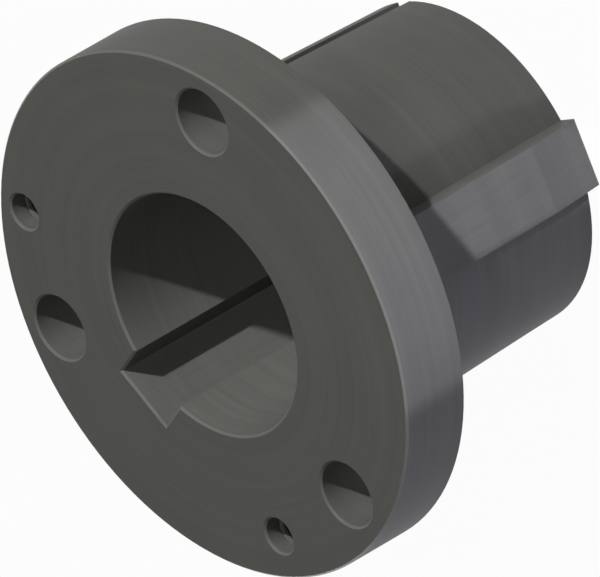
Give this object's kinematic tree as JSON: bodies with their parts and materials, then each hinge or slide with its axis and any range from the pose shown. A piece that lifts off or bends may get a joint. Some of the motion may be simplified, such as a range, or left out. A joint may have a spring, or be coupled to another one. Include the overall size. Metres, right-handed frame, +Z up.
{
  "type": "split taper bushing",
  "caption": "Round bolt flange on a split tapered barrel with an outside key; drawn into a tapered hub, it clamps a keyed shaft in its bore.",
  "frame": {"origin": "on the bore axis, in the plane of the barrel's small end, which the part stands on", "axes": "+Z runs up the bore axis from the small end to the flange's front face; -Y points at the bore's keyway"},
  "size_m": [0.0762, 0.0762, 0.0494],
  "materials": {
    "iron": "turned and oiled iron, dark grey, satin, with fine tool marks"
  },
  "bodies": {
    "root": {"bushing": "iron"}
  },
  "joints": []
}
